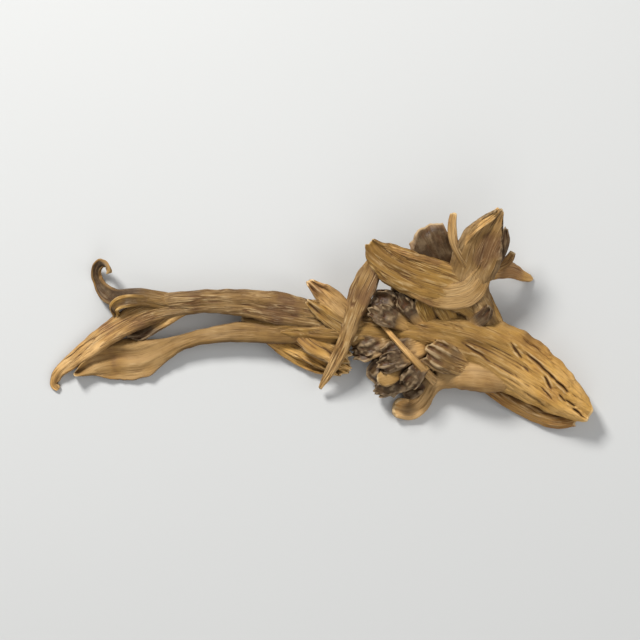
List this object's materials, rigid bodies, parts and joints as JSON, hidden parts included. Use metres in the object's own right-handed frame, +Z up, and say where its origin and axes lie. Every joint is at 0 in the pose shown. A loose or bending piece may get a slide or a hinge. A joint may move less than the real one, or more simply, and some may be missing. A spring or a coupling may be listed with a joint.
{
  "type": "dried maitake mushroom",
  "caption": "Dried maitake frond cluster lying on a surface: a torn, fissured stem base that splits into long wrinkled arms, thin strands and small frilled caps.",
  "frame": {"origin": "under the middle of the piece's bounding box, on the surface that it lies on", "axes": "+X towards the torn stem base, -X towards the long arms, +Z up out of the surface, +Y up the picture"},
  "size_m": [0.1258, 0.0502, 0.0161],
  "materials": {
    "dried_flesh": "matt, fibrous, dried tan and golden brown, darker at the caps' margins"
  },
  "bodies": {
    "root": {"maitake": "dried_flesh"}
  },
  "joints": []
}
